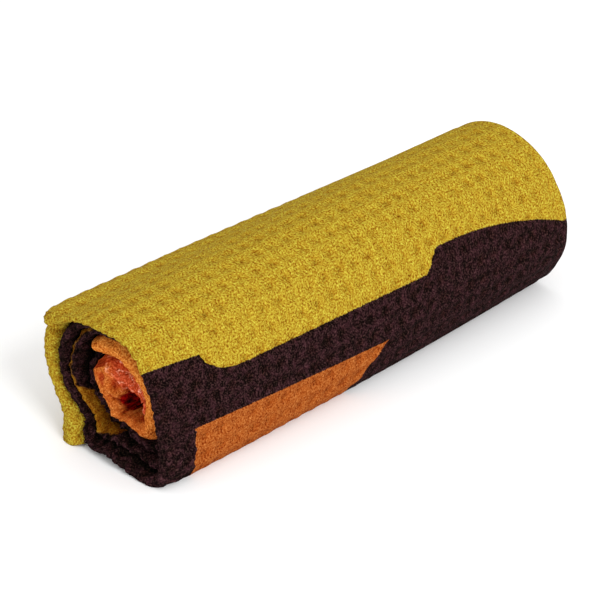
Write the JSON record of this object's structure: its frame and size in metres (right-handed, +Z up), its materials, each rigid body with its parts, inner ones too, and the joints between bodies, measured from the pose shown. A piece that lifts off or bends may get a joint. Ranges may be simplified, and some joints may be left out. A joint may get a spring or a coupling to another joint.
{
  "type": "quick dry towel",
  "caption": "Rolled quick-dry travel towel of waffle microfibre, folded lengthwise and rolled, with a free end that peels off the roll.",
  "frame": {"origin": "centre of the bounding box at the surface the roll rests on", "axes": "+X along the roll from the folded edge to the open hemmed edges, +Y towards the back where the free end hangs, +Z up"},
  "size_m": [0.25, 0.0887, 0.0747],
  "materials": {
    "waffle_cloth": "printed waffle-weave microfibre, short soft pile, matt",
    "hem_cloth": "folded and pressed edge of the printed cloth, matt",
    "sewing_thread": "twisted polyester sewing thread, slight sheen",
    "label_cloth": "blank woven satin label, soft sheen"
  },
  "bodies": {
    "roll": {"rolled_cloth": "waffle_cloth", "core_end_hem": "hem_cloth", "core_end_hem_thread": "sewing_thread", "outer_ply_long_hem": "hem_cloth", "outer_ply_long_hem_thread": "sewing_thread", "inner_ply_long_hem": "hem_cloth", "inner_ply_long_hem_thread": "sewing_thread"},
    "free_end": {"flap_cloth": "waffle_cloth", "flap_end_hem": "hem_cloth", "flap_end_hem_thread": "sewing_thread", "flap_outer_ply_long_hem": "hem_cloth", "flap_outer_ply_long_hem_thread": "sewing_thread", "flap_inner_ply_long_hem": "hem_cloth", "flap_inner_ply_long_hem_thread": "sewing_thread", "care_label": "label_cloth"}
  },
  "joints": [
    {"name": "free_end_peel", "type": "hinge", "parent": "roll", "child": "free_end", "pos_m": [0, 0.02919, 0.05982], "axis": [0.9992, -0.0272, 0.0305], "range_deg": [0, 60]}
  ]
}
